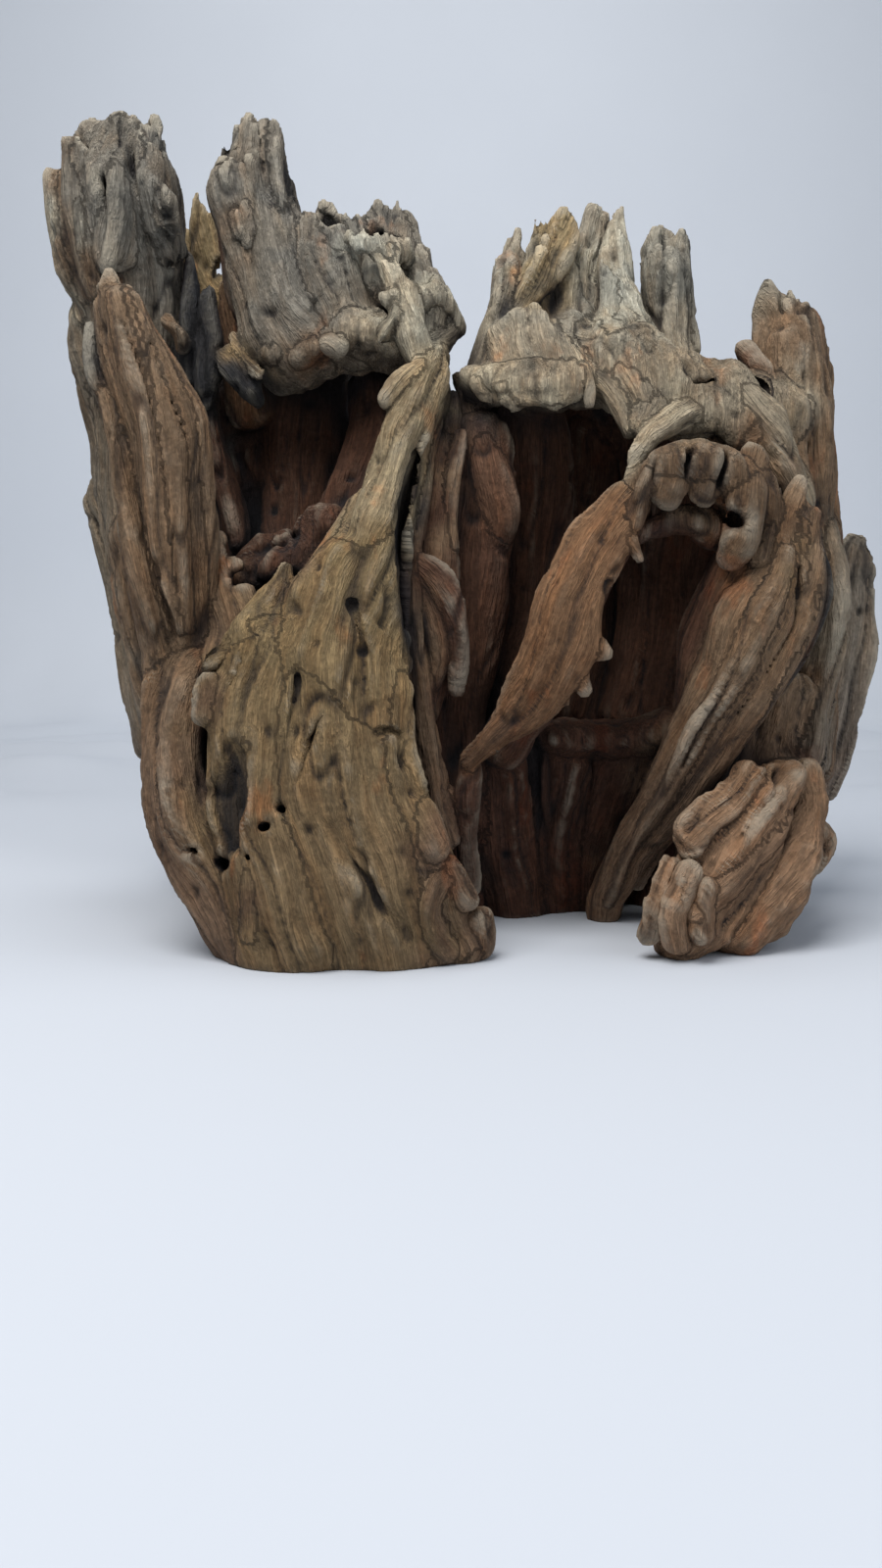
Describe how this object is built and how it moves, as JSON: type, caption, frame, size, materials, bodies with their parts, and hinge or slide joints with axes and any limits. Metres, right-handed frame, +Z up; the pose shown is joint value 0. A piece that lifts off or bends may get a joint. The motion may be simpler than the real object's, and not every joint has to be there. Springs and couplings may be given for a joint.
{
  "type": "dry root",
  "caption": "Gnarled dry root wood standing upright on a flat base, with splintered crests, an arched root, a slanting limb and deep hollows.",
  "frame": {"origin": "middle of the bounding box, on the floor plane of the flat base", "axes": "+Z up, +X along the row of crests towards the side of the slanting limb, -Y out of the open front with the apron and the arch"},
  "size_m": [0.382, 0.2304, 0.344],
  "materials": {
    "weathered_wood": "dry, barkless, fibrous and matt; grey-beige on the crests, red-brown to near black in the hollows, olive-tan on the apron"
  },
  "bodies": {
    "root": {"dry_root": "weathered_wood"}
  },
  "joints": []
}
